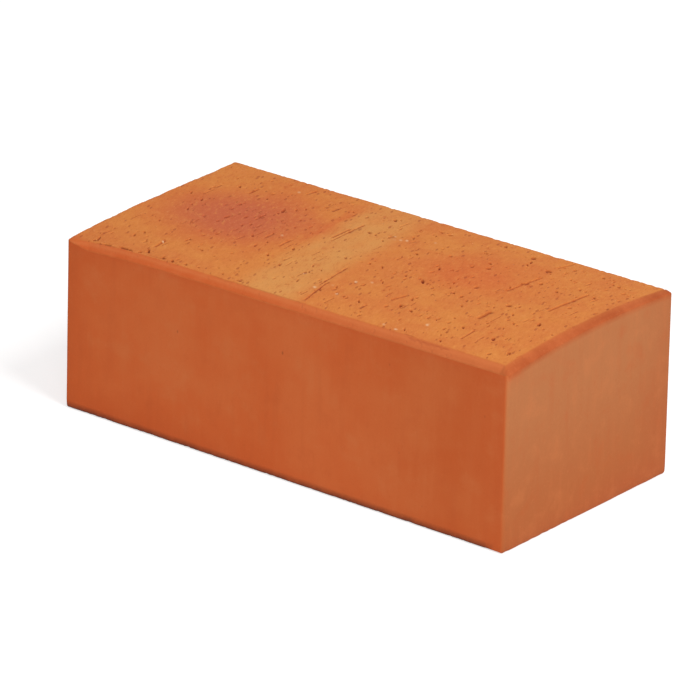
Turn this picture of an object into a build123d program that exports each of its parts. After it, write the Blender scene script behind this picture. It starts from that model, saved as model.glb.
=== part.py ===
import os

from build123d import *

# Solid brick of fired clay, extruded, cut with a wire and fired.
# Millimetres. +X runs along the stretcher towards the near head, +Y runs from the front
# stretcher face to the back one, +Z is up. The origin is the centre of the lower bed.

# Overall size. The height is that of the near head, at its upright corners.
brick_length = 250.0
brick_width = 120.0
brick_height = 88.0

# The wire left the upper bed a little out of true: it falls towards the far head, and it
# swells from almost flat there to an arch across the near head.
fall_to_far_head = 4.0
near_head_crown = 3.2
far_head_crown = 0.1

# The die rounds the four upright corners, and the lower arris is worn soft
corner_radius = 4.0
lower_arris_radius = 1.2

# The upper arris is bevelled along the front stretcher and across the near head, and left
# as the wire cut it along the back stretcher and the far head. The front bevel runs out
# before the far head, and the one on the near head loses depth towards the back.
front_bevel_width = 3.3
front_bevel_drop = 3.3
front_bevel_runout = 12.0
head_bevel_width = 4.0
head_bevel_front_drop = 3.5
head_bevel_back_drop = 1.0
run_out_width = 0.2

half_length = brick_length / 2
half_width = brick_width / 2


def bed_side(place):
    """Height of the upper bed at the stretchers, at a place along the brick."""
    return brick_height - fall_to_far_head * (half_length - place) / brick_length


def bed_crest(place):
    """Height of the upper bed in the middle of the brick's width, at a place along it."""
    share = (half_length + place) / brick_length
    return bed_side(place) + far_head_crown + (near_head_crown - far_head_crown) * share


front_bevel_end = front_bevel_runout - half_length
head_bevel_start = half_length - head_bevel_width
head_bevel_drop = (head_bevel_front_drop + head_bevel_back_drop) / 2

# Cuts across the brick from the far head to the near one, each as its place along the
# brick, the width and drop of the front bevel there, and the height of the upper bed at
# the front, in the middle and at the back
cuts = [
    (
        -half_length,
        run_out_width,
        run_out_width,
        bed_side(-half_length),
        bed_crest(-half_length),
        bed_side(-half_length),
    ),
    (
        front_bevel_end,
        front_bevel_width,
        front_bevel_drop,
        bed_side(front_bevel_end),
        bed_crest(front_bevel_end),
        bed_side(front_bevel_end),
    ),
    (
        head_bevel_start,
        front_bevel_width,
        front_bevel_drop,
        bed_side(head_bevel_start),
        bed_crest(head_bevel_start),
        bed_side(head_bevel_start),
    ),
    (
        half_length,
        run_out_width,
        run_out_width,
        bed_side(half_length) - head_bevel_front_drop,
        bed_crest(half_length) - head_bevel_drop,
        bed_side(half_length) - head_bevel_back_drop,
    ),
]

with BuildPart() as brick:
    # The column of clay as the die shapes it, tall enough for the highest point of the bed
    with BuildSketch():
        RectangleRounded(brick_length, brick_width, corner_radius)
    extrude(amount=brick_height + near_head_crown)

    # The upper bed and its bevels, from cut to cut
    for place, bevel_width, bevel_drop, front_height, crest_height, back_height in cuts:
        with BuildSketch(Plane.YZ.offset(place)):
            with BuildLine():
                Polyline(
                    (half_width, back_height),
                    (half_width, 0),
                    (-half_width, 0),
                    (-half_width, front_height - bevel_drop),
                    (bevel_width - half_width, front_height),
                )
                ThreePointArc(
                    (bevel_width - half_width, front_height),
                    (0, crest_height),
                    (half_width, back_height),
                )
            make_face()
    loft(ruled=True, mode=Mode.INTERSECT)

    # Soft arris all round the lower bed
    lower_bed = brick.faces().sort_by(Axis.Z)[0]
    fillet(lower_bed.edges(), radius=lower_arris_radius)

os.makedirs("parts", exist_ok=True)
brick.part.label = "brick"
export_step(brick.part, "parts/brick.step")
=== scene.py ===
import math
import random

import bmesh
import bpy
import numpy as np
from mathutils import Matrix, Vector
from mathutils import noise as wander


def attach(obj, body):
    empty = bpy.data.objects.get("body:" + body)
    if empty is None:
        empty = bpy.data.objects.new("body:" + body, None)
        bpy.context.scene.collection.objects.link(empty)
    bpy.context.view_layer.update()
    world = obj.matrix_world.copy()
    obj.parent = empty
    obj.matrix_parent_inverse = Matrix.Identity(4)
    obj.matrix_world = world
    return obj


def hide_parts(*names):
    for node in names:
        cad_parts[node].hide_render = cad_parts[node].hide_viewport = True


# The brick is shaped in millimetres and turned into metres at the end.
# +X runs along the stretcher towards the near head, +Y towards the back, +Z is up.
brick_length = 250.0
brick_width = 120.0
brick_height = 88.0
fall_to_far_head = 4.0
near_head_crown = 3.2
far_head_crown = 0.1
lower_arris_radius = 1.2

# The upright corners came out of the kiln crisper than the die's full round
corner_radius = 1.6

# The top edge is hardly eased, and nor are the creases at which the bevels start
rim_radius = 0.45
crease_softness = 0.5

# The bevel along the front runs out before the far head, and the one on the near head
# loses depth towards the back
front_bevel_width = 3.3
front_bevel_runout = 12.0
run_out_width = 0.2
head_bevel_width = 4.0
head_bevel_front_drop = 3.5
head_bevel_back_drop = 1.0

# The front corner of the far head sank a little more than the rest of the bed
sunk_corner_drop = 2.2
sunk_corner_reach = 60.0

half_length = brick_length / 2
half_width = brick_width / 2
crease_y = front_bevel_width - half_width
crease_x = half_length - head_bevel_width
runout_x = front_bevel_runout - half_length

# How far apart the points of the surface may be, in millimetres
bed_spacing = 1.25
lip_spacing = 0.8
side_spacing = 4.2
foot_spacing = 0.9
pit_spacing = 0.34
seam_spacing = 0.45
cells_per_mm = 2
slice_width = 5.0

# How deep the clay is worn and torn away, in millimetres
bed_swell_depth = 0.16
bed_rough_depth = 0.10
torn_rim_depth = 0.38
seam_depth = 0.35
deepest_hole = 1.2
side_swell_depth = 0.09
side_streak_depth = 0.02
torn_foot_depth = 0.45

# How many smaller marks are strewn over the bed, and where the holes among them lie
strewn_pits = 340
strewn_furrows = 46
strewn_x = (-118, 120)
strewn_y = (-54, 54)

# Kiln stains on the bed, as (x, y, half their length along the brick, half their width)
flash_place = (-78.0, 6.0, 47.0, 38.0)
blush_place = (50.0, 14.0, 38.0, 27.0)
patch_place = (72.0, 28.0, 26.0, 26.0)

# The photograph's view: how many degrees round from the front, up and rolled, how many
# metres away, the point looked at, and the lens in millimetres
view_azimuth = 37.9
view_elevation = 22.7
view_roll = 1.4
view_distance = 4.183
view_centre = (-0.009, 0.0, 0.0411)
view_lens = 479.5

# Holes in the bed where a grain was torn out, as (x, y, length along the drag, width).
# These, the furrows and the grains of sand have their places set right by on_bed.
large_pits = [
    (-63, 20, 3.2, 1.4),
    (-79, -1, 2.8, 1.7),
    (37, -7, 3.0, 1.7),
    (60, 2, 2.2, 2.0),
    (58, 47, 2.4, 2.6),
    (73, 38, 1.8, 3.6),
    (84, -6, 2.0, 2.6),
    (99, -37, 2.2, 2.0),
    (-17, 43, 2.0, 1.9),
    (-70, -19, 1.8, 1.5),
]
small_pits = [
    (-99, -4, 1.8, 1.1),
    (-83, 8, 1.5, 1.2),
    (-72, 4, 2.0, 1.5),
    (-56, -11, 1.6, 1.2),
    (-74, -24, 1.3, 1.1),
    (-48, -19, 2.4, 1.0),
    (-37, -24, 1.4, 1.4),
    (-51, -32, 1.3, 1.0),
    (-32, -12, 1.6, 1.3),
    (-78, 27, 1.6, 1.0),
    (-79, 33, 1.8, 1.0),
    (-97, 31, 1.6, 1.3),
    (-104, 38, 1.4, 1.0),
    (-110, -44, 1.4, 1.0),
    (-98, -36, 1.4, 1.3),
    (-91, -44, 2.2, 1.1),
    (-76, -31, 1.3, 1.2),
    (-64, -37, 1.3, 1.2),
    (-28, -24, 1.6, 1.0),
    (-13, -22, 1.5, 1.0),
    (-9, -38, 2.2, 1.1),
    (-1, -32, 2.0, 1.0),
    (-17, 24, 1.3, 2.6),
    (-6, 25, 2.2, 1.3),
    (-29, 38, 1.6, 1.2),
    (8, 45, 1.2, 1.8),
    (13, 45, 1.2, 2.4),
    (29, 24, 1.4, 1.7),
    (34, 9, 2.6, 1.1),
    (34, 4, 2.0, 1.3),
    (40, 50, 1.6, 1.8),
    (44, 20, 1.4, 1.8),
    (51, 23, 1.5, 2.6),
    (48, 28, 1.1, 2.2),
    (39, 37, 1.2, 2.4),
    (61, -10, 1.4, 1.9),
    (56, -9, 1.2, 1.5),
    (28, -20, 2.2, 1.1),
    (6, -5, 1.4, 1.2),
    (45, -33, 1.5, 1.6),
    (40, -37, 1.8, 1.4),
    (52, -35, 1.2, 2.2),
    (75, -41, 1.6, 1.3),
    (73, -35, 1.3, 1.3),
    (81, -35, 1.4, 1.5),
    (67, -34, 1.4, 1.2),
    (80, 23, 1.4, 2.2),
    (91, 20, 1.2, 1.7),
    (107, 8, 1.3, 1.7),
    (107, -14, 2.2, 1.4),
    (108, 43, 1.6, 1.8),
    (115, 37, 1.6, 1.4),
    (96, 48, 1.4, 1.8),
    (93, -18, 1.2, 1.4),
    (81, 47, 1.4, 1.8),
    (113, -44, 1.4, 1.9),
    (106, -49, 1.4, 1.7),
]

# Furrows that dragged grains left, as (start, end, width); the last end is the deeper one
furrows = [
    ((101.6, 0.0), (103.9, 25.3), 0.9),
    ((73.1, 7.1), (75.8, 29.0), 0.8),
    ((-26.3, 9.0), (-25.9, 21.2), 0.8),
    ((-24.1, 5.8), (-24.0, 29.0), 0.6),
    ((6.1, -51.8), (3.4, -33.0), 0.55),
    ((2.0, -36.0), (0.7, -14.6), 0.5),
    ((-66.6, 4.4), (-66.7, 11.8), 0.6),
    ((-88.3, 27.0), (-88.2, 33.3), 0.6),
    ((-67.3, 42.4), (-66.1, 48.2), 0.7),
    ((-50.0, -9.5), (-49.9, -3.6), 0.6),
    ((86.9, -43.9), (87.2, -34.7), 0.6),
    ((73.8, 43.9), (75.8, 53.7), 0.7),
    ((-83.6, -46.5), (-84.0, -38.9), 0.9),
    ((37.9, -29.9), (40.6, -23.5), 0.9),
    ((81.1, -23.1), (81.4, -16.2), 1.3),
    ((-39.0, -13.0), (-39.1, -5.0), 0.6),
]

# Where a dark ragged seam shows between the bed and the front bevel, a shallow groove
# darkened with painted shade, as (start, end, how far behind the crease, how dark)
lip_seams = [
    (-119, 118, 0.1, 0.15),
    (-110, -100, 0.4, 0.7),
    (-82, -66, 1.4, 0.35),
    (-44, 8, 0.3, 0.5),
    (64, 70, 0.4, 0.6),
    (68, 90, -0.9, 0.6),
]

# Clay torn out along the front bevel, as (x, y, size across the brick, size along it)
rim_tears = [
    (-113.0, -52.2, 5.6, 1.2),
    (-113.4, -54.8, 1.7, 2.4),
    (-104.8, -56.0, 1.5, 5.0),
    (-95.8, -54.9, 2.0, 6.4),
    (-92.4, -55.3, 1.8, 3.2),
    (-86.8, -54.6, 2.0, 2.0),
    (-84.6, -51.0, 3.4, 1.6),
    (-83.6, -52.6, 1.5, 2.6),
    (-73.9, -54.2, 1.7, 3.4),
    (-68.4, -54.4, 2.4, 1.9),
    (-67.4, -51.6, 3.2, 1.1),
    (-61.1, -53.5, 1.9, 1.6),
    (-54.5, -53.0, 1.6, 1.2),
    (-30.5, -54.0, 1.1, 3.6),
]

# Pale grains of sand in the bed, as (x, y, size)
sand_grains = [
    (-52.5, 20.4, 1.3),
    (-45.4, -2.5, 1.2),
    (-95.1, 45.8, 0.9),
    (-71.5, 42.6, 1.0),
    (-3.2, 24.6, 1.6),
    (0.4, 25.4, 1.4),
    (2.6, 26.4, 1.2),
    (6.5, 27.6, 0.9),
    (-5.0, 27.2, 0.9),
    (13.5, 32.2, 1.2),
    (13.4, -24.6, 1.2),
    (19.2, -21.3, 1.1),
    (66.7, -41.4, 1.7),
    (49.6, -51.3, 1.3),
    (57.3, -52.5, 1.7),
    (-10.9, -30.4, 1.6),
    (1.4, -39.2, 1.5),
    (7.3, -33.6, 1.5),
    (14.2, -39.2, 1.7),
    (-84.6, -39.4, 1.2),
]


def linear(red, green, blue):
    """A colour for a material, from its usual 0 to 255 values."""
    parts = []
    for value in (red, green, blue):
        share = value / 255
        parts.append(share / 12.92 if share < 0.04045 else ((share + 0.055) / 1.055) ** 2.4)
    return (*parts, 1.0)


def soft_step(low, high, value):
    """0 below low, 1 above high, and a smooth rise between them."""
    share = np.clip((value - low) / (high - low), 0.0, 1.0)
    return share * share * (3.0 - 2.0 * share)


def soft_ramp(value, softness):
    """Value where it is positive and 0 where it is not, eased round the bend."""
    eased = (value + softness) ** 2 / (4.0 * softness)
    return np.where(value > softness, value, np.where(value < -softness, 0.0, eased))


def bevel_line(x):
    """The y at which the front bevel starts, which runs out to the edge at the far head."""
    share = np.clip((x + half_length) / front_bevel_runout, 0.0, 1.0)
    return run_out_width + (front_bevel_width - run_out_width) * share - half_width


def upper_surface(x, y):
    """Height of the upper bed and its bevels at each place of the plan."""
    along = (x + half_length) / brick_length
    side = brick_height - fall_to_far_head * (1.0 - along)
    crown = far_head_crown + (near_head_crown - far_head_crown) * along
    line = bevel_line(x)
    middle = (half_width + line) / 2
    reach = (half_width - line) / 2
    bed = side + crown * (1.0 - ((y - middle) / reach) ** 2)
    across = (y + half_width) / brick_width
    drop = head_bevel_front_drop + (head_bevel_back_drop - head_bevel_front_drop) * across
    bed = bed - soft_ramp(x - crease_x, crease_softness) * drop / head_bevel_width
    bevel = side + y - line
    height = bevel - soft_ramp(bevel - bed, crease_softness)
    from_corner = np.hypot(x + half_length, y + half_width) / sunk_corner_reach
    return height - sunk_corner_drop * np.clip(1.0 - from_corner, 0.0, 1.0) ** 2


def on_bed(x, y):
    """A mark's place on the brick, from its place in the lists, which lie a little askew."""
    return 1.02 * x - 0.05 * y - 2.4, 1.057 * y - 0.016 * x + 1.7


def depth_inside(x, y):
    """How far a point of the plan lies inside the rounded outline of the brick."""
    over_x = np.abs(x) - (half_length - corner_radius)
    over_y = np.abs(y) - (half_width - corner_radius)
    outside = np.hypot(np.maximum(over_x, 0.0), np.maximum(over_y, 0.0))
    inside = np.minimum(np.maximum(over_x, over_y), 0.0)
    return corner_radius - outside - inside


def listed_pits(pits, longer, wider):
    """The listed holes at their places. Their rims are soft, so they are cut a little larger."""
    return [(*on_bed(x, y), longer * length, wider * width) for x, y, length, width in pits]


def listed_furrows(lines, wider):
    """The listed furrows at their places, cut wider because their rims are soft."""
    return [(on_bed(*start), on_bed(*end), wider * width) for start, end, width in lines]


def scattered_pits():
    """Smaller holes strewn over the bed, thicker towards the near head, longer along the drag."""
    chance = random.Random(41)
    pits = []
    while len(pits) < strewn_pits:
        x = chance.uniform(*strewn_x)
        y = chance.uniform(*strewn_y)
        if chance.random() > 0.62 + 0.38 * x / half_length:
            continue
        width = 0.5 + 0.8 * chance.random() ** 2
        length = width * chance.uniform(1.5, 2.8)
        pits.append((x, y, length, width))
    return pits


def scattered_furrows():
    """Fine scratches along the drag of the wire."""
    chance = random.Random(12)
    lines = []
    for _ in range(strewn_furrows):
        x = chance.uniform(-117, 118)
        y = chance.uniform(-52, 44)
        run = chance.uniform(2.5, 8.0)
        lean = chance.uniform(-0.4, 0.4)
        width = chance.uniform(0.3, 0.5)
        lines.append(((x, y), (x + lean, y + run), width))
    return lines


def blank():
    """A block with rounded upright corners, an eased rim above and a soft arris below."""
    bm = bmesh.new()
    bmesh.ops.create_cube(bm, size=1.0)
    bmesh.ops.scale(bm, vec=(brick_length, brick_width, brick_height), verts=bm.verts)
    bmesh.ops.translate(bm, vec=(0.0, 0.0, brick_height / 2), verts=bm.verts)
    upright = [e for e in bm.edges if abs(e.verts[0].co.z - e.verts[1].co.z) > 1.0]
    round_edges(bm, upright, corner_radius, 5)
    round_edges(bm, edges_at_height(bm, brick_height), rim_radius, 2)
    round_edges(bm, edges_at_height(bm, 0.0), lower_arris_radius, 3)
    return bm


def edges_at_height(bm, height):
    """The outline of the face that lies flat at this height."""
    level = [e for e in bm.edges if all(abs(v.co.z - height) < 0.01 for v in e.verts)]
    return [e for e in level if e.calc_face_angle() > 0.5]


def round_edges(bm, edges, offset, segments):
    """Rounds these edges over."""
    bmesh.ops.bevel(
        bm,
        geom=edges,
        offset=offset,
        offset_type="OFFSET",
        segments=segments,
        profile=0.5,
        affect="EDGES",
        material=-1,
    )


def cut_at(bm, parts, point, normal):
    """Draws a line of edges where a plane meets these parts of the block."""
    bmesh.ops.bisect_plane(bm, geom=parts, plane_co=point, plane_no=normal)


def slice_across(bm, axis, places):
    """Cuts the whole block into slices along one axis."""
    normal = Vector((0.0, 0.0, 0.0))
    normal[axis] = 1.0
    for place in places:
        cut_at(bm, bm.verts[:] + bm.edges[:] + bm.faces[:], normal * place, normal)


def even_places(low, high, step):
    """Places from low to high, about a step apart."""
    count = round((high - low) / step)
    return [low + (high - low) * index / count for index in range(count + 1)]


def cut_runout(bm):
    """Draws the slanting line on which the front bevel runs out."""
    faces = []
    for face in bm.faces:
        middle = face.calc_center_median()
        if middle.x < runout_x and middle.y < 0.0 and middle.z > brick_height - 0.1:
            faces.append(face)
    parts = set(faces)
    for face in faces:
        parts.update(face.edges)
        parts.update(face.verts)
    slant = front_bevel_width - run_out_width
    normal = Vector((-slant, front_bevel_runout, 0.0)).normalized()
    cut_at(bm, list(parts), Vector((runout_x, crease_y, brick_height)), normal)


def pit_lean(index):
    """How far a hole leans off the drag, towards the far head; each one differs a little."""
    return 0.42 * math.sin(index * 2.3) - 0.36


def spacing_map(pits, lines):
    """How fine the bed has to be at each half millimetre, finest at a hole or a furrow."""
    size = (int(brick_length) * cells_per_mm, int(brick_width) * cells_per_mm)
    cells = np.full(size, bed_spacing)

    def mark(x, y, half_x, half_y, spacing):
        low_x = max(0, int((x - half_x + half_length) * cells_per_mm))
        low_y = max(0, int((y - half_y + half_width) * cells_per_mm))
        high_x = int((x + half_x + half_length) * cells_per_mm) + 1
        high_y = int((y + half_y + half_width) * cells_per_mm) + 1
        patch = cells[low_x:high_x, low_y:high_y]
        np.minimum(patch, spacing, out=patch)

    for index, (x, y, length, width) in enumerate(pits):
        half_x = (width + abs(pit_lean(index)) * length) * 0.5
        mark(x, y, half_x + 0.3, length * 0.5 + 0.4, pit_spacing)
    steps = 40
    for start, end, width in lines:
        for step in range(steps + 1):
            share = step / steps
            x = start[0] + (end[0] - start[0]) * share
            y = start[1] + (end[1] - start[1]) * share
            mark(x, y, width * 0.5 + 0.3, 0.6, pit_spacing)
    for start, end, behind, _ in lip_seams:
        middle = (start + end) / 2
        mark(middle, crease_y + behind, (end - start) / 2, 0.8, seam_spacing)
    mark(0.0, half_width, half_length, 2.2, seam_spacing)
    return cells


def wanted_spacing(x, y, z, cells):
    """The spacing wanted at points of the block."""
    inset = depth_inside(x, y)
    column = np.clip(((x + half_length) * cells_per_mm).astype(int), 0, cells.shape[0] - 1)
    row = np.clip(((y + half_width) * cells_per_mm).astype(int), 0, cells.shape[1] - 1)
    spacing = np.full(len(x), side_spacing)
    on_top = z > brick_height - 0.2
    spacing[on_top] = cells[column[on_top], row[on_top]]
    near_rim = inset < 2.0
    near_lip = (y < crease_y + 1.5) | (x > crease_x - 1.5)
    fine_top = (z > brick_height - 1.5) & (near_rim | near_lip)
    spacing[fine_top] = np.minimum(spacing[fine_top], lip_spacing)
    near_foot = (z < 2.2) & near_rim & (y < 0.0)
    spacing[near_foot] = foot_spacing
    return spacing


def refine(bm, cells):
    """Halves the edges that are well over the spacing wanted there, until none is left."""
    slack = 1.35
    for _ in range(6):
        edges = bm.edges[:]
        ends = np.array([(*e.verts[0].co, *e.verts[1].co) for e in edges])
        middle = (ends[:, :3] + ends[:, 3:]) / 2
        length = np.linalg.norm(ends[:, :3] - ends[:, 3:], axis=1)
        wanted = wanted_spacing(middle[:, 0], middle[:, 1], middle[:, 2], cells)
        too_long = [edges[i] for i in np.flatnonzero(length > wanted * slack)]
        if not too_long:
            break
        bmesh.ops.subdivide_edges(bm, edges=too_long, cuts=1, use_grid_fill=True)


def ripple(points, scale, seed=0.0):
    """Smooth noise of about -1 to 1 at each point; scale is the size of its lumps."""
    values = np.empty(len(points))
    for index, (x, y, z) in enumerate(points):
        values[index] = wander.noise(Vector((x / scale[0] + seed, y / scale[1], z / scale[2])))
    return values


def hollow(x, y, centre, half_along, half_across, lean=0.0):
    """1 in the middle of an oval hole, 0 at its rim and outside it."""
    off_x = (x - centre[0]) - lean * (y - centre[1])
    off_y = y - centre[1]
    reach = np.hypot(off_x / half_across, off_y / half_along)
    return 1.0 - soft_step(0.45, 1.1, reach)


def trench(x, y, start, end, half_across):
    """1 along the middle of a furrow at its end, a little less at its start, 0 outside it."""
    run = Vector((end[0] - start[0], end[1] - start[1]))
    length = run.length
    along = ((x - start[0]) * run.x + (y - start[1]) * run.y) / length
    across = np.abs((x - start[0]) * run.y - (y - start[1]) * run.x) / length
    beyond = np.maximum(np.maximum(-along, along - length), 0.0)
    reach = np.hypot(across, beyond) / half_across
    share = np.clip(along / length, 0.0, 1.0)
    return (1.0 - soft_step(0.35, 1.15, reach)) * (0.72 + 0.28 * share)


def store(mesh, name, values):
    """Keeps a value at each point of the mesh for the material to read."""
    layer = mesh.attributes.new(name, "FLOAT", "POINT")
    layer.data.foreach_set("value", values.astype(np.float32))


def close_by(x, y, top, place, reach):
    """Which points of the top lie near a mark."""
    return (np.abs(x - place[0]) < reach) & (np.abs(y - place[1]) < reach) & (top > 0)


def carve_marks(x, y, top, pits, lines):
    """How deep the holes and furrows go, and how much of each is at every point."""
    count = len(x)
    hole = np.zeros(count)
    furrow = np.zeros(count)
    grain = np.zeros(count)
    sunk = np.zeros(count)
    for index, (pit_x, pit_y, length, width) in enumerate(pits):
        near = close_by(x, y, top, (pit_x, pit_y), 5.0)
        dark = min(1.0, 0.36 + 0.4 * width)
        depth = min(deepest_hole, 0.8 * min(length, width))
        shape = hollow(x[near], y[near], (pit_x, pit_y), length / 2, width / 2, pit_lean(index))
        hole[near] = np.maximum(hole[near], shape * dark)
        sunk[near] = np.maximum(sunk[near], shape * depth)
    for start, end, width in lines:
        near = (np.abs(x - (start[0] + end[0]) / 2) < 24.0) & (top > 0)
        shape = trench(x[near], y[near], start, end, width / 2)
        furrow[near] = np.maximum(furrow[near], shape)
        sunk[near] = np.maximum(sunk[near], shape * width * 0.7)
    for grain_x, grain_y, size in sand_grains:
        place = on_bed(grain_x, grain_y)
        near = close_by(x, y, top, place, 3.0)
        shape = hollow(x[near], y[near], place, size / 2, size / 2)
        grain[near] = np.maximum(grain[near], shape)
    return hole, furrow, grain, sunk


def seam_marks(x, y, top, waver):
    """The dark ragged seam where the bed meets the front bevel, a shallow groove darkened with
    painted shade, and the dark rim at the back.
    """
    seam = np.zeros(len(x))
    for start, end, behind, strength in lip_seams:
        place = bevel_line(x) + behind + 0.6 * waver
        thin = 1.0 - soft_step(0.12, 0.55, np.abs(y - place))
        ends = soft_step(start - 1.5, start + 1.5, x) * (1.0 - soft_step(end - 1.5, end + 1.5, x))
        seam = np.maximum(seam, thin * ends * strength * top)
    back_rim = soft_step(half_width - 0.9, half_width - 0.3, y - 0.4 * waver)
    return np.maximum(seam, 0.4 * back_rim * top)


def out_of(x, y, place):
    """How far out of an oval stain each point lies: 0 in its middle, 1 at its rim."""
    middle_x, middle_y, half_x, half_y = place
    return np.hypot((x - middle_x) / half_x, (y - middle_y) / half_y)


def stains(mesh, x, y, broad, middling):
    """Kiln stains: a purple flash, a blush, a straw-coloured band and the red beside it."""
    wave_x = x + 5.0 * broad + 1.5 * middling
    wave_y = y + 5.0 * broad
    from_flash = out_of(wave_x, wave_y, flash_place)
    store(mesh, "flash", 0.95 - 0.95 * soft_step(0.2, 1.05, from_flash))

    # Red: a ring round the flash, the blush with a weaker patch behind it, a stripe at the
    # far side of the straw band, and a faint border on its near side
    ring = 1.0 - soft_step(0.5, 1.35, from_flash)
    blush = 1.0 - soft_step(0.2, 1.2, out_of(wave_x, wave_y, blush_place))
    patch = 1.0 - soft_step(0.1, 1.2, out_of(wave_x, wave_y, patch_place))
    stripe = 1.0 - soft_step(0.5, 4.5, np.abs(x + 38.0 + 0.10 * y + 1.2 * middling + 1.2 * broad))
    stripe *= soft_step(-24.0, 14.0, y) * (1.0 - soft_step(38.0, 54.0, y))
    edge = x + 2.0 + 0.13 * y
    border = soft_step(-2.5, 3.0, edge + 1.5 * middling) * (1.0 - soft_step(3.0, 16.0, edge))
    border *= 1.0 - soft_step(0.0, 34.0, y)
    reds = np.maximum(np.maximum(blush * 0.8, patch * 0.4), ring * 0.55)
    reds = np.maximum(reds, np.maximum(stripe * 0.7, border * 0.12))
    store(mesh, "blush", reds)

    band = x + 18.0 + 0.12 * y + 3.0 * broad + 1.2 * middling
    straw = (1.0 - soft_step(8.0, 22.0, np.abs(band))) * (1.0 - 0.4 * soft_step(34.0, 56.0, y))
    store(mesh, "straw", straw * (0.75 + 0.35 * middling))


def ruddy_sides(mesh, x, y, z, broad):
    """Where the sides fired redder: by their upright corners, and low down."""
    waver = 6.0 * broad
    near_end = soft_step(100.0, 121.0, x + waver)
    far_end = 1.0 - soft_step(-122.0, -108.0, x + waver)
    low = (1.0 - soft_step(4.0, 20.0, z + waver)) * (1.0 - soft_step(-70.0, 10.0, x))
    front = np.maximum(np.maximum(near_end, far_end) * 0.8, low)
    back_part = soft_step(30.0, 58.0, y + waver) * (1.0 - 0.5 * soft_step(20.0, 60.0, z))
    low = 1.0 - soft_step(3.0, 26.0, z + waver + 0.12 * (half_width - y))
    head = np.maximum(back_part * 0.8, low)
    on_head = soft_step(half_length - 2.0, half_length - 0.5, x)
    store(mesh, "ruddy", front * (1.0 - on_head) + head * on_head)

    # The dark arris between the near head and the back
    corner = soft_step(half_width - 1.0, half_width - 0.3, y) * soft_step(110.0, 123.0, x)
    store(mesh, "corner", corner)


def bevel_marks(mesh, x, y, z, onto_bevel, middling, close):
    """What is bevel, with an edge that is more ragged towards the far head."""
    at_left = 1.0 - soft_step(-60.0, -10.0, x)
    off_head = 1.0 - soft_step(crease_x - 1.0, crease_x, x)
    ragged = (0.5 * middling + 0.35 * close) * (0.35 + 0.65 * at_left) * off_head
    blurred = 1.0 - 0.3 * at_left
    lip = soft_step(-blurred, blurred * 0.8, onto_bevel + ragged)

    # The sunk corner is red like the bevel, and the head bevel's darker colour runs over onto the
    # head as painted shade under the bevel
    from_corner = np.hypot((x + half_length) / 1.6, y + half_width) + 1.5 * middling
    lip = np.maximum(lip, 0.8 * (1.0 - soft_step(3.0, 8.0, from_corner)))
    lip *= soft_step(brick_height - 0.45, brick_height - 0.15, z)
    painted_shade_below_head_bevel = soft_step(half_length - 0.5, half_length - 0.2, x)
    painted_shade_below_head_bevel *= soft_step(brick_height - 2.4, brick_height - 0.3, z)
    store(mesh, "lip", np.maximum(lip, 0.8 * painted_shade_below_head_bevel))

    # The paler line where the front bevel starts
    along_crease = soft_step(0.1, 0.8, onto_bevel) * (1.0 - soft_step(1.0, 2.2, onto_bevel))
    store(mesh, "glint", along_crease * off_head)


def foot_shadow_line(mesh, x, y, z, middling, close):
    """The painted contact shadow along the foot of the front, which fades before the near corner.
    """
    line = 1.0 - soft_step(0.85, 1.9 + 0.3 * middling + 0.25 * close, z)
    line *= 1.0 - soft_step(half_length - 12.0, half_length - 4.0, x)
    store(mesh, "foot", line * (1.0 - soft_step(-55.0, -50.0, y)))


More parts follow.
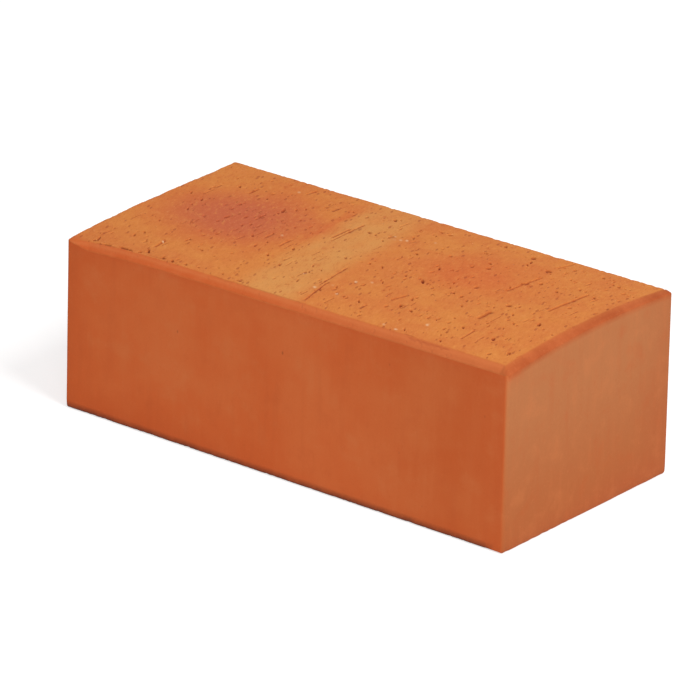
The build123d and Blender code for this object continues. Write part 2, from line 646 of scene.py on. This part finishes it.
def wear(mesh, pits, lines):
    """Shapes the upper bed, tears it, and marks what the material has to colour."""
    count = len(mesh.vertices)
    flat = np.empty(count * 3)
    mesh.vertices.foreach_get("co", flat)
    points = flat.reshape(count, 3)
    x, y, z = points[:, 0].copy(), points[:, 1].copy(), points[:, 2].copy()
    inset = depth_inside(x, y)
    broad = ripple(points, (38.0, 30.0, 38.0))
    middling = ripple(points, (7.0, 11.0, 7.0), 31.0)
    close = ripple(points, (1.9, 3.2, 2.2), 57.0)
    broken = ripple(points, (0.8, 1.2, 0.8), 19.0)
    streak = ripple(points, (5.0, 5.0, 70.0), 83.0)
    top = soft_step(brick_height - 0.35, brick_height - 0.05, z)
    upper = soft_step(brick_height - 3.0, brick_height - 0.3, z)

    # How far each point of the top lies down the front bevel or the one on the near head
    onto_bevel = np.maximum(bevel_line(x) - y, x - crease_x)
    smooth = soft_step(-0.6, 0.6, onto_bevel)

    # The bed, with holes, furrows and seams
    uneven_x = x + 0.2 * close + 0.18 * broken
    uneven_y = y + 0.3 * middling + 0.3 * broken
    hole, furrow, grain, sunk = carve_marks(uneven_x, uneven_y, top, pits, lines)
    seam = seam_marks(x, y, top, middling + 0.5 * close)
    sunk = np.maximum(sunk, seam * seam_depth)

    # Height: the bed's slow swell, its torn rim and its roughness only ever take clay away
    rough = bed_swell_depth * (0.5 + 0.5 * broad)
    rough += bed_rough_depth * (0.5 + 0.5 * close + np.maximum(middling, 0.0))
    rim = 1.0 - soft_step(0.3, 2.4, inset)
    torn = rim * (1.0 - smooth) * np.maximum(0.1 + 0.4 * middling + 0.9 * close, 0.0)
    rise = upper_surface(x, y) - brick_height
    shaped = z + rise * np.clip(z / (brick_height - 4.0), 0.0, 1.0)
    shaped -= top * (rough * (1.0 - 0.7 * smooth) + sunk) + upper * torn * torn_rim_depth

    # The sides: long faint hollows from the die, and the ragged foot
    side = 1.0 - soft_step(0.2, 2.2, inset)
    foot = 1.0 - soft_step(0.5, 2.2, z)
    draw_in = side_swell_depth * (0.5 + 0.5 * broad) + side_streak_depth * (0.5 + 0.5 * streak)
    draw_in += foot * torn_foot_depth * np.maximum(0.1 + 0.6 * middling + close, 0.0)
    draw_in *= side
    straight_x = half_length - corner_radius
    straight_y = half_width - corner_radius
    toward_x = np.clip(x, -straight_x, straight_x) - x
    toward_y = np.clip(y, -straight_y, straight_y) - y
    reach = np.maximum(np.hypot(toward_x, toward_y), 0.001)
    points[:, 0] = x + toward_x / reach * draw_in
    points[:, 1] = y + toward_y / reach * draw_in
    points[:, 2] = shaped
    mesh.vertices.foreach_set("co", points.reshape(-1))

    # What the material colours
    store(mesh, "bed", soft_step(brick_height - 0.45, brick_height - 0.15, z))
    store(mesh, "hole", hole * (1.0 - 0.25 * smooth))
    store(mesh, "furrow", furrow)
    store(mesh, "seam", seam)
    store(mesh, "grain", grain)
    # Painted shade on the front, in a strip just under its bevel
    under_bevel = soft_step(brick_height - 3.5, brick_height - 2.0, z)
    store(mesh, "painted_shade", under_bevel * side * (y < -50.0))
    bevel_marks(mesh, x, y, z, onto_bevel, middling, close)
    foot_shadow_line(mesh, x, y, z, middling, close)
    stains(mesh, x, y, broad, middling)
    ruddy_sides(mesh, x, y, z, broad)


def clay_brick():
    """The whole brick as one closed skin."""
    pits = listed_pits(large_pits, longer=1.45, wider=1.15)
    pits += listed_pits(small_pits, longer=1.6, wider=1.05)
    pits += rim_tears + scattered_pits()
    lines = listed_furrows(furrows, wider=1.6) + scattered_furrows()

    # The block, cut where its creases will be and into slices between them
    soft = crease_softness
    bm = blank()
    slice_across(bm, 0, even_places(slice_width - half_length, crease_x - 1.0, slice_width))
    slice_across(bm, 0, [runout_x, crease_x - soft, crease_x, crease_x + soft])
    slice_across(bm, 1, even_places(crease_y + soft, half_width - slice_width, slice_width))
    slice_across(bm, 1, [crease_y - soft, crease_y])
    slice_across(bm, 2, even_places(4.0, brick_height - 3.0, slice_width))
    cut_runout(bm)
    refine(bm, spacing_map(pits, lines))
    uneven = [f for f in bm.faces if len(f.verts) > 4]
    bmesh.ops.triangulate(bm, faces=uneven)
    bmesh.ops.recalc_face_normals(bm, faces=bm.faces)
    mesh = bpy.data.meshes.new("clay_brick_surface")
    bm.to_mesh(mesh)
    bm.free()
    wear(mesh, pits, lines)
    mesh.transform(Matrix.Scale(0.001, 4))
    mesh.shade_smooth()
    piece = bpy.data.objects.new("clay_brick_surface", mesh)
    bpy.context.scene.collection.objects.link(piece)
    return piece


def add_node(tree, kind, options=None, inputs=None):
    """Adds a node, sets its options, and fills or links its sockets."""
    made = tree.nodes.new(kind)
    for name, value in (options or {}).items():
        setattr(made, name, value)
    for name, value in (inputs or {}).items():
        if isinstance(value, bpy.types.NodeSocket):
            tree.links.new(value, made.inputs[name])
        else:
            made.inputs[name].default_value = value
    return made


def marked(tree, name, strength=1.0):
    """What the mesh says at each point about one of its marks, weakened if asked."""
    mark = add_node(tree, "ShaderNodeAttribute", {"attribute_name": name}).outputs["Fac"]
    return mark if strength == 1.0 else arithmetic(tree, "MULTIPLY", mark, strength)


def speckle(tree, coordinates, scale, detail=3.0, roughness=0.6):
    """Cloudy noise of about 0 to 1."""
    inputs = {"Vector": coordinates, "Scale": scale, "Detail": detail, "Roughness": roughness}
    return add_node(tree, "ShaderNodeTexNoise", {}, inputs).outputs["Fac"]


def spread(tree, value, low, high, out_low=0.0, out_high=1.0):
    """Stretches values between low and high over a new range, smoothly, and clamps the rest."""
    inputs = {"Value": value, "From Min": low, "From Max": high}
    inputs.update({"To Min": out_low, "To Max": out_high})
    options = {"interpolation_type": "SMOOTHSTEP", "clamp": True}
    return add_node(tree, "ShaderNodeMapRange", options, inputs).outputs["Result"]


def arithmetic(tree, kind, first, second):
    """Plain arithmetic on two values."""
    return add_node(tree, "ShaderNodeMath", {"operation": kind}, {0: first, 1: second}).outputs[0]


def tint(tree, amount, under, over):
    """One colour laid over another."""
    inputs = {0: amount, 6: under, 7: over}
    options = {"data_type": "RGBA", "clamp_factor": True}
    return add_node(tree, "ShaderNodeMix", options, inputs).outputs[2]


def flecked(tree, colour, noise, low, high, strength, over):
    """A colour with flecks of another, where a noise goes from low to high."""
    return tint(tree, spread(tree, noise, low, high, 0.0, strength), colour, over)


def drawn_out(tree, coordinates, stretch):
    """The same place with one direction drawn out, for grain that runs one way."""
    inputs = {"Vector": coordinates, "Scale": stretch}
    return add_node(tree, "ShaderNodeMapping", {}, inputs).outputs["Vector"]


def leaned(tree, coordinates, share):
    """The same place drawn out along the holes in the bed, which lean off the drag."""
    inputs = {"Vector": coordinates, "Axis": (0.0, 0.0, 1.0), "Angle": math.atan(pit_lean(0))}
    turned = add_node(tree, "ShaderNodeVectorRotate", {}, inputs).outputs["Vector"]
    return drawn_out(tree, turned, (1.0, share, 1.0))


def pores(tree, coordinates, scale, share, size):
    """Small round dots strewn at random: 1 inside them, 0 between."""
    inputs = {"Vector": coordinates, "Scale": scale, "Randomness": 1.0}
    cells = add_node(tree, "ShaderNodeTexVoronoi", {}, inputs)
    parts = add_node(tree, "ShaderNodeSeparateColor", {}, {"Color": cells.outputs["Color"]})
    chance = parts.outputs[0]
    chosen = spread(tree, chance, 1.0 - share, 1.0, 0.25, 1.0)
    kept = arithmetic(tree, "GREATER_THAN", chance, 1.0 - share)
    radius = arithmetic(tree, "MULTIPLY", chosen, size)
    gap = arithmetic(tree, "SUBTRACT", radius, cells.outputs["Distance"])
    dot = spread(tree, gap, -0.03, 0.05)
    return arithmetic(tree, "MULTIPLY", dot, kept)


# Colours of the bed
bed_orange = linear(213, 121, 58)
bed_orange_pale = linear(218, 132, 62)
straw_yellow = linear(218, 149, 80)
blush_red = linear(212, 104, 50)
flash_purple = linear(199, 99, 63)
mottle_pale = linear(228, 146, 74)
mottle_dark = linear(194, 92, 42)
grit_pale = linear(232, 160, 98)
grit_dark = linear(172, 78, 34)
pore_brown = linear(160, 68, 30)
furrow_brown = linear(144, 52, 22)
seam_painted_shade_brown = linear(160, 68, 32)
hole_brown = linear(128, 42, 18)
sand_pale = linear(236, 190, 146)

# Colours of the sides: the front's red, and the paler tan of the near head, paler still towards
# its top
far_red = linear(210, 98, 44)
far_red_pale = linear(213, 107, 53)
near_red = linear(202, 94, 41)
near_red_pale = linear(206, 103, 50)
head_tan_low = linear(179, 98, 51)
head_tan_high = linear(184, 113, 67)
ruddy_front = linear(204, 92, 40)
ruddy_head = linear(180, 93, 50)
# Painted shade for the strip of the front just under its bevel
painted_shade_red = linear(196, 84, 36)
patch_pale = linear(212, 124, 72)
patch_dark = linear(192, 84, 36)
streak_pale = linear(214, 120, 68)
streak_dark = linear(188, 84, 38)
corner_brown = linear(166, 74, 44)
skin_grit_pale = linear(224, 136, 82)
skin_grit_dark = linear(174, 76, 34)
side_pore_brown = linear(140, 62, 32)
# Painted contact shadow at the foot of the front
foot_shadow_brown = linear(100, 46, 30)

# Colours of the bevels
lip_far = linear(204, 94, 42)
lip_near = linear(198, 102, 52)
lip_head_upper = linear(180, 90, 43)
# The lower edge of the head bevel, darkened with painted shade
lip_head_painted_shade = linear(173, 81, 37)
lip_cloud = linear(214, 116, 64)
lip_grit = linear(224, 134, 80)
lip_glint = linear(216, 120, 66)
lip_seam_painted_shade = linear(166, 70, 34)
lip_hole = linear(134, 50, 24)


def bed_colour(tree, place):
    """Sandy orange, mottled, with the kiln's stains and dark holes."""
    leaning = leaned(tree, place, 0.4)
    cloud = speckle(tree, place, 45.0, 4.0)
    mottle = speckle(tree, leaning, 480.0, 4.0, 0.7)
    grit = speckle(tree, leaning, 1200.0, 3.0, 0.7)
    colour = tint(tree, spread(tree, cloud, 0.35, 0.65), bed_orange, bed_orange_pale)
    colour = tint(tree, marked(tree, "straw"), colour, straw_yellow)
    colour = tint(tree, marked(tree, "blush", 0.9), colour, blush_red)
    colour = tint(tree, marked(tree, "flash"), colour, flash_purple)
    colour = flecked(tree, colour, mottle, 0.5, 0.72, 0.42, mottle_pale)
    colour = flecked(tree, colour, mottle, 0.48, 0.28, 0.45, mottle_dark)
    colour = flecked(tree, colour, grit, 0.54, 0.76, 0.35, grit_pale)
    colour = flecked(tree, colour, grit, 0.46, 0.24, 0.42, grit_dark)
    dots = pores(tree, leaning, 520.0, 0.36, 0.34)
    colour = tint(tree, arithmetic(tree, "MULTIPLY", dots, 0.5), colour, pore_brown)
    colour = tint(tree, marked(tree, "furrow"), colour, furrow_brown)
    # The seam: a shallow groove, darkened further with painted shade
    colour = tint(tree, marked(tree, "seam", 0.8), colour, seam_painted_shade_brown)
    colour = tint(tree, marked(tree, "hole"), colour, hole_brown)
    return tint(tree, marked(tree, "grain"), colour, sand_pale), dots


def side_colour(tree, place):
    """Smooth red clay from the die, paler on the near head, with faint upright streaks."""
    cloud = speckle(tree, place, 22.0, 3.0)
    patches = speckle(tree, place, 75.0, 4.0)
    streaks = speckle(tree, drawn_out(tree, place, (1.0, 1.0, 0.12)), 190.0, 3.0)
    grit = speckle(tree, place, 900.0, 3.0)

    # Where along the brick and how high, in metres
    split = add_node(tree, "ShaderNodeSeparateXYZ", {}, {"Vector": place})
    head = spread(tree, split.outputs["X"], 0.1234, 0.1249)
    near = spread(tree, split.outputs["X"], 0.02, 0.1)
    high = spread(tree, split.outputs["Z"], 0.0, 0.075)

    clouded = spread(tree, cloud, 0.35, 0.65)
    far_side = tint(tree, clouded, far_red, far_red_pale)
    near_side = tint(tree, clouded, near_red, near_red_pale)
    red = tint(tree, near, far_side, near_side)
    colour = tint(tree, head, red, tint(tree, high, head_tan_low, head_tan_high))
    ruddy = tint(tree, head, ruddy_front, ruddy_head)
    colour = tint(tree, marked(tree, "ruddy", 0.75), colour, ruddy)
    # Painted shade on the front just under its bevel
    colour = tint(tree, marked(tree, "painted_shade", 0.5), colour, painted_shade_red)
    colour = flecked(tree, colour, patches, 0.5, 0.75, 0.22, patch_pale)
    colour = flecked(tree, colour, patches, 0.48, 0.25, 0.2, patch_dark)
    colour = flecked(tree, colour, streaks, 0.5, 0.72, 0.1, streak_pale)
    colour = flecked(tree, colour, streaks, 0.48, 0.28, 0.12, streak_dark)
    colour = tint(tree, marked(tree, "corner", 0.7), colour, corner_brown)
    colour = flecked(tree, colour, grit, 0.55, 0.8, 0.16, skin_grit_pale)
    colour = flecked(tree, colour, grit, 0.45, 0.2, 0.2, skin_grit_dark)
    dots = pores(tree, drawn_out(tree, place, (1.0, 1.0, 0.6)), 150.0, 0.14, 0.09)
    colour = tint(tree, arithmetic(tree, "MULTIPLY", dots, 0.6), colour, side_pore_brown)
    # Painted contact shadow along the foot of the front
    return tint(tree, marked(tree, "foot", 0.9), colour, foot_shadow_brown)


def lip_colour(tree, place):
    """The bevels, where the clay was pressed smooth and fired to a clearer orange red."""
    cloud = speckle(tree, place, 70.0, 3.0)
    grit = speckle(tree, place, 800.0, 3.0)

    # How far along the front, what is on the near head, and how far down its bevel, in metres
    split = add_node(tree, "ShaderNodeSeparateXYZ", {}, {"Vector": place})
    along = spread(tree, split.outputs["X"], -0.06, 0.11)
    head = spread(tree, split.outputs["X"], 0.1195, 0.1212)
    down = spread(tree, split.outputs["X"], 0.1212, 0.1238)

    on_front = tint(tree, along, lip_far, lip_near)
    # The head bevel darkens towards its lower edge with painted shade
    on_head = tint(tree, down, lip_head_upper, lip_head_painted_shade)
    colour = tint(tree, head, on_front, on_head)
    colour = flecked(tree, colour, cloud, 0.35, 0.7, 0.35, lip_cloud)
    colour = flecked(tree, colour, grit, 0.5, 0.8, 0.2, lip_grit)
    colour = tint(tree, marked(tree, "glint", 0.5), colour, lip_glint)
    colour = tint(tree, marked(tree, "seam", 0.8), colour, lip_seam_painted_shade)
    return tint(tree, marked(tree, "hole"), colour, lip_hole)


def fired_clay():
    """Fired clay: torn and sandy on the bed, smooth from the die on the sides."""
    material = bpy.data.materials.new("fired_clay_finish")
    material.use_nodes = True
    tree = material.node_tree
    shader = tree.nodes["Principled BSDF"]
    place = add_node(tree, "ShaderNodeTexCoord").outputs["Object"]
    bed, dots = bed_colour(tree, place)
    colour = tint(tree, marked(tree, "bed"), side_colour(tree, place), bed)
    colour = tint(tree, marked(tree, "lip"), colour, lip_colour(tree, place))
    tree.links.new(colour, shader.inputs["Base Color"])
    shader.inputs["Roughness"].default_value = 0.88
    shader.inputs["Specular IOR Level"].default_value = 0.25

    # Relief: coarse and dragged on the bed, fine on the sides
    dragged = drawn_out(tree, place, (1.0, 0.4, 1.0))
    coarse = speckle(tree, dragged, 650.0, 5.0, 0.7)
    fine = speckle(tree, place, 1400.0, 3.0)
    sunk_dots = arithmetic(tree, "MULTIPLY", dots, 0.8)
    torn_bed = arithmetic(tree, "SUBTRACT", coarse, sunk_dots)
    torn_bed = arithmetic(tree, "MULTIPLY", torn_bed, marked(tree, "bed"))
    relief = arithmetic(tree, "ADD", torn_bed, arithmetic(tree, "MULTIPLY", fine, 0.25))
    inputs = {"Strength": 0.5, "Distance": 0.00035, "Height": relief}
    bump = add_node(tree, "ShaderNodeBump", {}, inputs)
    tree.links.new(bump.outputs["Normal"], shader.inputs["Normal"])
    return material


def seen_directly(tree):
    """1 for what the camera, a gloss or clear stuff sees, 0 for light on its way."""
    path = add_node(tree, "ShaderNodeLightPath")
    seen, gloss = path.outputs["Is Camera Ray"], path.outputs["Is Glossy Ray"]
    either = arithmetic(tree, "MAXIMUM", seen, gloss)
    return arithmetic(tree, "MAXIMUM", either, path.outputs["Is Transmission Ray"])


def studio_floor():
    """A plain white floor, a hair below the brick, that keeps the brick's soft shadow."""
    bm = bmesh.new()
    bmesh.ops.create_grid(bm, x_segments=1, y_segments=1, size=15.0)
    bmesh.ops.translate(bm, vec=(0.0, 0.0, -0.0002), verts=bm.verts)
    mesh = bpy.data.meshes.new("studio_floor")
    bm.to_mesh(mesh)
    bm.free()
    floor = bpy.data.objects.new("studio_floor", mesh)
    bpy.context.scene.collection.objects.link(floor)
    material = bpy.data.materials.new("white_floor")
    material.use_nodes = True
    tree = material.node_tree
    shader = tree.nodes["Principled BSDF"]
    seen = seen_directly(tree)
    for_light = (0.8, 0.8, 0.8, 1.0)
    for_the_eye = (0.62, 0.62, 0.62, 1.0)
    colour = tint(tree, seen, for_light, for_the_eye)
    tree.links.new(colour, shader.inputs["Base Color"])
    tree.links.new(arithmetic(tree, "MULTIPLY", seen, 0.62), shader.inputs["Emission Strength"])
    shader.inputs["Emission Color"].default_value = (1.0, 1.0, 1.0, 1.0)
    shader.inputs["Roughness"].default_value = 1.0
    shader.inputs["Specular IOR Level"].default_value = 0.0
    mesh.materials.append(material)
    return floor


def white_surroundings():
    """Even light from all round, and a white background behind the brick."""
    world = bpy.data.worlds.new("white_surroundings")
    world.use_nodes = True
    bpy.context.scene.world = world
    tree = world.node_tree
    background = tree.nodes["Background"]
    background.inputs["Color"].default_value = (1.0, 1.0, 1.0, 1.0)
    seen = seen_directly(tree)
    strength = arithmetic(tree, "ADD", arithmetic(tree, "MULTIPLY", seen, 0.6), 0.4)
    tree.links.new(strength, background.inputs["Strength"])


def way_to(azimuth, elevation):
    """The way from the brick to a lamp or the camera: 0 is in front, 90 at the near head."""
    turn = math.radians(azimuth)
    rise = math.radians(elevation)
    level = math.cos(rise)
    return Vector((math.sin(turn) * level, -math.cos(turn) * level, math.sin(rise)))


def soft_lamp(name, azimuth, elevation, distance, width, height, power):
    """A soft box that faces the middle of the brick."""
    lamp = bpy.data.lights.new(name, "AREA")
    lamp.shape = "RECTANGLE"
    lamp.size = width
    lamp.size_y = height
    lamp.energy = power
    away = way_to(azimuth, elevation)
    holder = bpy.data.objects.new(name, lamp)
    bpy.context.scene.collection.objects.link(holder)
    holder.location = away * distance + Vector((0.0, 0.0, 0.04))
    holder.rotation_euler = away.to_track_quat("Z", "Y").to_euler()


def camera():
    """The photograph's view: from far off, over the near corner, with a slight roll."""
    turn = math.radians(view_azimuth)
    roll = math.radians(view_roll)
    back = way_to(view_azimuth, view_elevation)
    level = Vector((math.cos(turn), math.sin(turn), 0.0))
    right = level * math.cos(roll) + back.cross(level) * math.sin(roll)
    upward = back.cross(right)
    lens = bpy.data.cameras.new("camera")
    lens.sensor_width = 36.0
    lens.lens = view_lens
    lens.clip_start = 0.1
    lens.clip_end = 100.0
    holder = bpy.data.objects.new("camera", lens)
    bpy.context.scene.collection.objects.link(holder)
    turned = Matrix((right, upward, back)).transposed().to_4x4()
    place = Vector(view_centre) + back * view_distance
    holder.matrix_world = Matrix.Translation(place) @ turned
    bpy.context.scene.camera = holder


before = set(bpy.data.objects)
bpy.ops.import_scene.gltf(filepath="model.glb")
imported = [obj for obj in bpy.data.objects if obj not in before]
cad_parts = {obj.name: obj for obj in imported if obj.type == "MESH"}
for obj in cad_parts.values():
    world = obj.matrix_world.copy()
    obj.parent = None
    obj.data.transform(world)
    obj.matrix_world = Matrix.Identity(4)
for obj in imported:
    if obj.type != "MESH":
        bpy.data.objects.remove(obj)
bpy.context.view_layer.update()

brick = clay_brick()
brick.data.materials.append(fired_clay())
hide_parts("brick")
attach(brick, "root")

studio_floor()
white_surroundings()
soft_lamp("key_light", 80.0, 51.0, distance=2.6, width=0.9, height=1.2, power=40.0)
soft_lamp("front_light", 34.0, 32.0, distance=2.8, width=1.2, height=1.0, power=15.0)
camera()
bpy.context.scene.view_settings.view_transform = "Standard"
